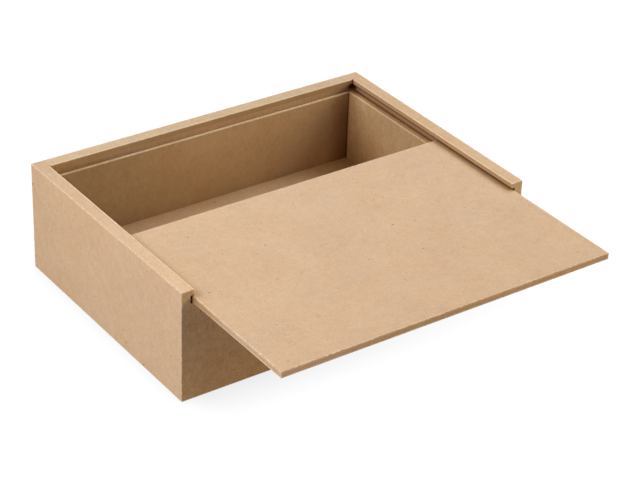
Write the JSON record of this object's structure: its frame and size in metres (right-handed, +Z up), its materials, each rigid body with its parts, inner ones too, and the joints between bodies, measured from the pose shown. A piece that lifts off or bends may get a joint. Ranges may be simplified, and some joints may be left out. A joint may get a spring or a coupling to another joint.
{
  "type": "sliding lid box",
  "caption": "Flat raw-MDF box for papers and keepsakes; its plain panel lid slides in slots in the side and back boards and comes out over the lower front board.",
  "frame": {"origin": "centre of the box, lid left out, on the plane that its four boards stand on", "axes": "+Z up; +X to the right seen from the front; +Y to the back, so the lid slides out towards -Y"},
  "size_m": [0.35, 0.376, 0.105],
  "materials": {
    "mdf_board": "raw MDF board, edges lightly sanded",
    "mdf_panel": "raw thin MDF panel, pressed face",
    "mdf_lining": "raw thin MDF strip, cut edge on top"
  },
  "bodies": {
    "box": {"left_wall": "mdf_board", "right_wall": "mdf_board", "back_wall": "mdf_board", "front_wall": "mdf_board", "base_panel": "mdf_panel", "left_lining": "mdf_lining", "right_lining": "mdf_lining"},
    "lid": {"sliding_lid": "mdf_panel"}
  },
  "joints": [
    {"name": "lid_slide", "type": "slide", "parent": "box", "child": "lid", "axis": [0, -1, 0], "range_m": [-0.1325, 0.118]}
  ]
}
